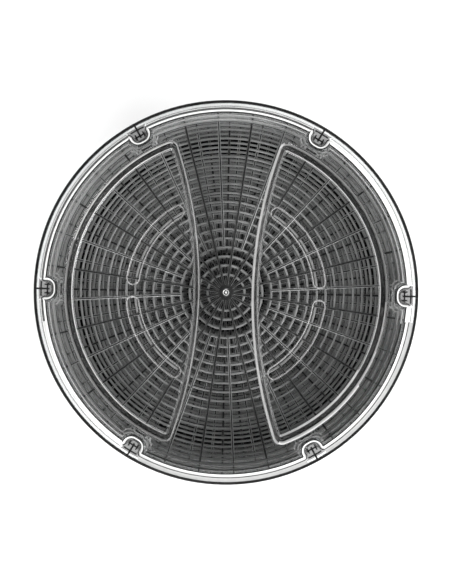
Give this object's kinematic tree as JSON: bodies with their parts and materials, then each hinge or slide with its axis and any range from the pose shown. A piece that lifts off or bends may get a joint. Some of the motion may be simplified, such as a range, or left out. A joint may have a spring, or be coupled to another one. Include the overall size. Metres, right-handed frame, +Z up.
{
  "type": "food dehydrator",
  "caption": "Round food dehydrator: clear vented lid with finger wells over clear nesting grid trays on a black base with fan, heater, rocker switch and thermostat knob.",
  "frame": {"origin": "on the ground under the middle of the feet", "axes": "+Z up; -Y towards the front with the controls; +X to the right seen from the front"},
  "size_m": [0.326, 0.326, 0.256],
  "materials": {
    "lid_clear": "clear, polished",
    "tray_clear": "clear, polished",
    "base_black": "fine spark texture",
    "fascia": "smooth, satin",
    "knob": "smooth, satin",
    "rocker": "smooth",
    "bright_metal": "zinc plated",
    "mica": "flaky",
    "heating_wire": "oxidised",
    "fan_plastic": "moulded",
    "motor_iron": "laminated",
    "copper_winding": "enamelled",
    "bronze": "sintered",
    "ceramic": "glazed",
    "lens_amber": "polished",
    "wire_sleeve": "woven",
    "foot_rubber": "matt"
  },
  "bodies": {
    "base": {"base_housing": "base_black", "control_fascia": "fascia", "base_deck": "base_black", "outlet_grille": "base_black", "fan_shroud": "base_black", "heat_liner": "bright_metal", "heater_frame": "mica", "heating_element": "heating_wire", "motor_core": "motor_iron", "motor_coil": "copper_winding", "bracket_upper": "bright_metal", "bracket_lower": "bright_metal", "bearing_upper": "bronze", "bearing_lower": "bronze", "motor_screw_1": "bright_metal", "motor_screw_2": "bright_metal", "thermostat_body": "ceramic", "thermal_fuse": "ceramic", "fuse_clip": "bright_metal", "rocker_frame": "knob", "indicator_lens": "lens_amber", "indicator_lamp": "ceramic", "terminal_block": "ceramic", "cord_plate": "base_black", "cord_gland": "base_black", "gland_nut": "base_black", "wiring_loom": "wire_sleeve", "base_cover": "base_black", "foot_1": "foot_rubber", "foot_2": "foot_rubber", "foot_3": "foot_rubber", "foot_4": "foot_rubber", "cover_screw_1": "bright_metal", "cover_screw_2": "bright_metal", "cover_screw_3": "bright_metal", "cover_screw_4": "bright_metal"},
    "fan_rotor": {"fan_impeller": "fan_plastic", "fan_clip": "bright_metal", "motor_shaft": "bright_metal", "motor_rotor": "motor_iron"},
    "thermostat": {"thermostat_knob": "knob", "thermostat_shaft": "bright_metal"},
    "rocker": {"power_rocker": "rocker"},
    "tray_5": {"tray_5_wall": "tray_clear", "tray_5_spokes": "tray_clear", "tray_5_rings": "tray_clear"},
    "tray_4": {"tray_4_wall": "tray_clear", "tray_4_spokes": "tray_clear", "tray_4_rings": "tray_clear"},
    "tray_3": {"tray_3_wall": "tray_clear", "tray_3_spokes": "tray_clear", "tray_3_rings": "tray_clear"},
    "tray_2": {"tray_2_wall": "tray_clear", "tray_2_spokes": "tray_clear", "tray_2_rings": "tray_clear"},
    "tray_1": {"tray_1_wall": "tray_clear", "tray_1_spokes": "tray_clear", "tray_1_rings": "tray_clear"},
    "lid": {"lid": "lid_clear"}
  },
  "joints": [
    {"name": "fan_spin", "type": "hinge", "parent": "base", "child": "fan_rotor", "pos_m": [0, 0, 0.045], "axis": [0, 0, 1], "continuous": true},
    {"name": "thermostat_turn", "type": "hinge", "parent": "base", "child": "thermostat", "pos_m": [0, -0.14, 0.038], "axis": [0, 1, 0], "range_deg": [0, 270]},
    {"name": "rocker_tip", "type": "hinge", "parent": "base", "child": "rocker", "pos_m": [-0.042, -0.138, 0.038], "axis": [-1, 0, 0], "range_deg": [0, 16]},
    {"name": "tray_5_lift", "type": "slide", "parent": "base", "child": "tray_5", "axis": [0, 0, 1], "range_m": [0, 0.08]},
    {"name": "tray_4_lift", "type": "slide", "parent": "tray_5", "child": "tray_4", "axis": [0, 0, 1], "range_m": [0, 0.08]},
    {"name": "tray_3_lift", "type": "slide", "parent": "tray_4", "child": "tray_3", "axis": [0, 0, 1], "range_m": [0, 0.08]},
    {"name": "tray_2_lift", "type": "slide", "parent": "tray_3", "child": "tray_2", "axis": [0, 0, 1], "range_m": [0, 0.08]},
    {"name": "tray_1_lift", "type": "slide", "parent": "tray_2", "child": "tray_1", "axis": [0, 0, 1], "range_m": [0, 0.08]},
    {"name": "lid_lift", "type": "slide", "parent": "tray_1", "child": "lid", "axis": [0, 0, 1], "range_m": [0, 0.08]}
  ]
}
